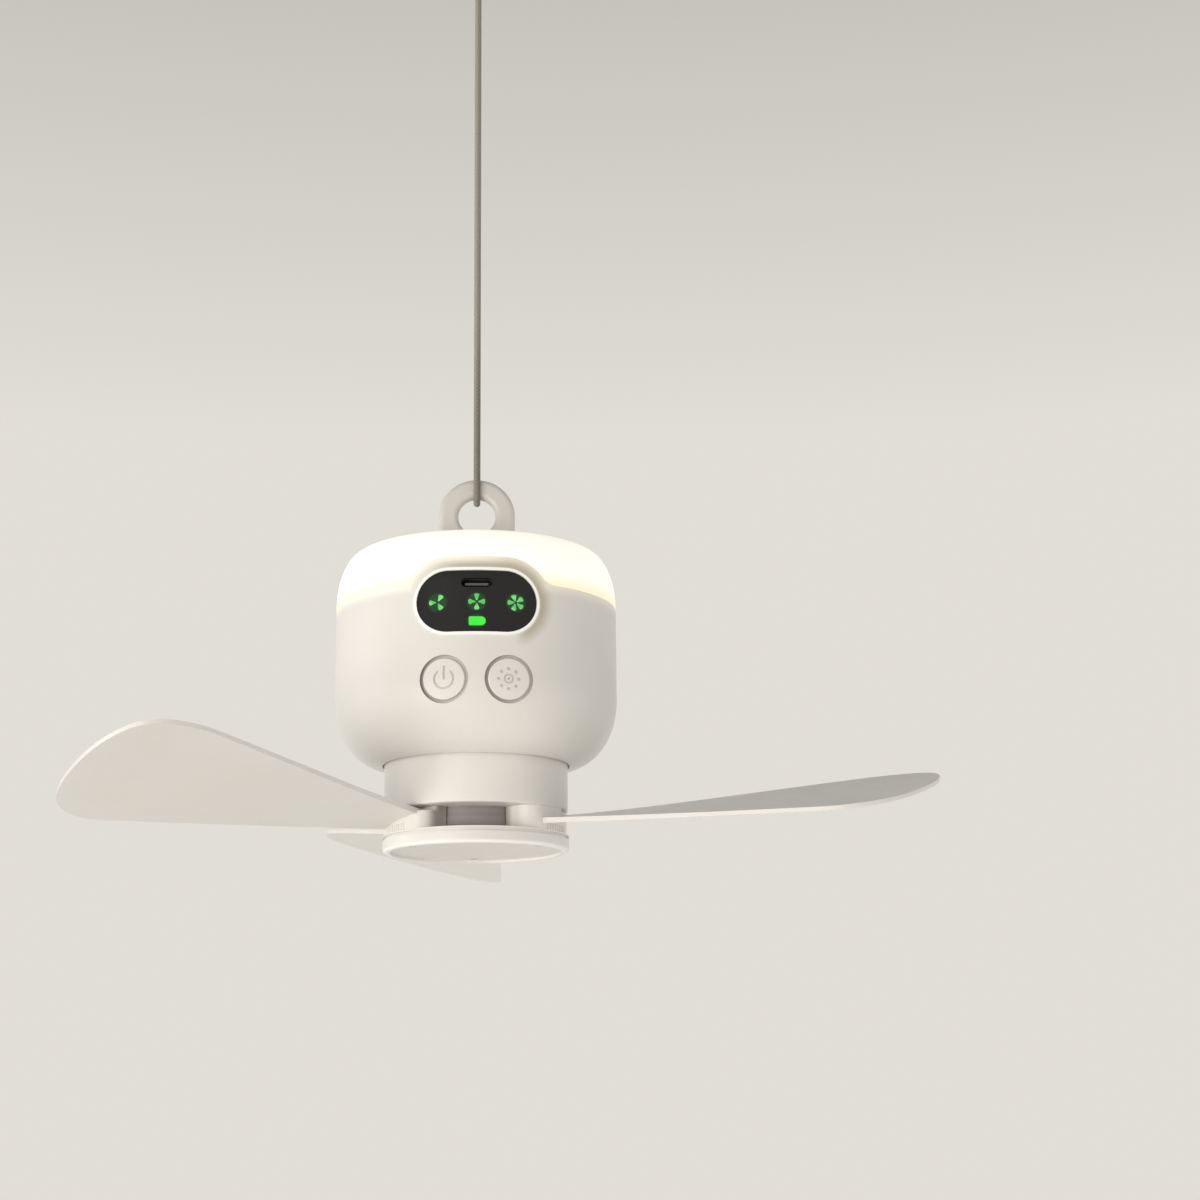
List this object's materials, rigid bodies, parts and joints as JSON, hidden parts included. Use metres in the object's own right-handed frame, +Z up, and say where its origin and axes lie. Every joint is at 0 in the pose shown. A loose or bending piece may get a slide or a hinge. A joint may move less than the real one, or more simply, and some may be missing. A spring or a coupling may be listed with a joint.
{
  "type": "hanging camping fan with lamp",
  "caption": "Round-bodied hanging camping fan: a three-blade rotor under a white body with a glowing lamp top, a black display, push buttons and a doubled hanging cord.",
  "frame": {"origin": "middle of the eye of the cord's fitting, from which the fan hangs", "axes": "+Z up along the rotor's axis, -Y towards the display, +X to the right of someone facing the display"},
  "size_m": [0.2459, 0.2397, 0.3077],
  "materials": {
    "housing": "satin warm white",
    "lamp": "translucent opal, glowing warm white",
    "ring": "translucent light grey",
    "display": "polished black, icons lit green from behind",
    "baffle": "matte black",
    "board": "green solder mask",
    "components": "moulded packages",
    "led": "clear resin",
    "steel": "plain",
    "cell": "shrink wrapped",
    "contact": "nickel plated",
    "inner_plastic": "plain",
    "winding": "enamelled copper wire",
    "magnet": "ground",
    "brass": "machined",
    "core": "fine matte grey",
    "blade": "satin warm white",
    "cord": "braided grey cord",
    "fitting": "dark moulded plastic"
  },
  "bodies": {
    "housing": {"lower_housing": "housing", "lamp_diffuser": "lamp", "lamp_frame": "inner_plastic", "led_board": "board", "lamp_leds": "led", "frame_screws": "steel", "hang_ring": "ring", "ring_screw": "steel", "display_window": "display", "light_baffle": "baffle", "control_board": "board", "display_leds": "led", "usb_port": "steel", "power_switch": "components", "light_switch": "components", "battery_tray": "inner_plastic", "battery_cell_1": "cell", "battery_cell_2": "cell", "cell_contacts": "contact", "main_board": "board", "board_parts": "components", "motor_mount": "brass", "mount_screws": "steel", "upper_bearing": "steel", "lower_bearing": "steel", "stator_core": "steel", "stator_coils": "winding", "driver_board": "board", "cord_fitting": "fitting", "hang_cord": "cord"},
    "rotor": {"rotor_hub": "housing", "rotor_yoke": "steel", "magnet_ring": "magnet", "motor_shaft": "steel", "shaft_clip": "steel", "hub_core": "core", "blade_1": "blade", "blade_2": "blade", "blade_3": "blade", "bottom_cap": "housing", "cap_screws": "steel"},
    "power_key": {"power_button": "housing", "power_plunger": "components"},
    "light_key": {"light_button": "housing", "light_plunger": "components"}
  },
  "joints": [
    {"name": "rotor_spin", "type": "hinge", "parent": "housing", "child": "rotor", "pos_m": [0, 0, -0.2745], "axis": [0, 0, 1], "continuous": true},
    {"name": "power_button_press", "type": "slide", "parent": "housing", "child": "power_key", "axis": [0, 1, 0], "range_m": [0, 0.0006], "stiffness_N_per_m": 2500, "springref_m": -0.0002},
    {"name": "light_button_press", "type": "slide", "parent": "housing", "child": "light_key", "axis": [0, 1, 0], "range_m": [0, 0.0006], "stiffness_N_per_m": 2500, "springref_m": -0.0002}
  ]
}
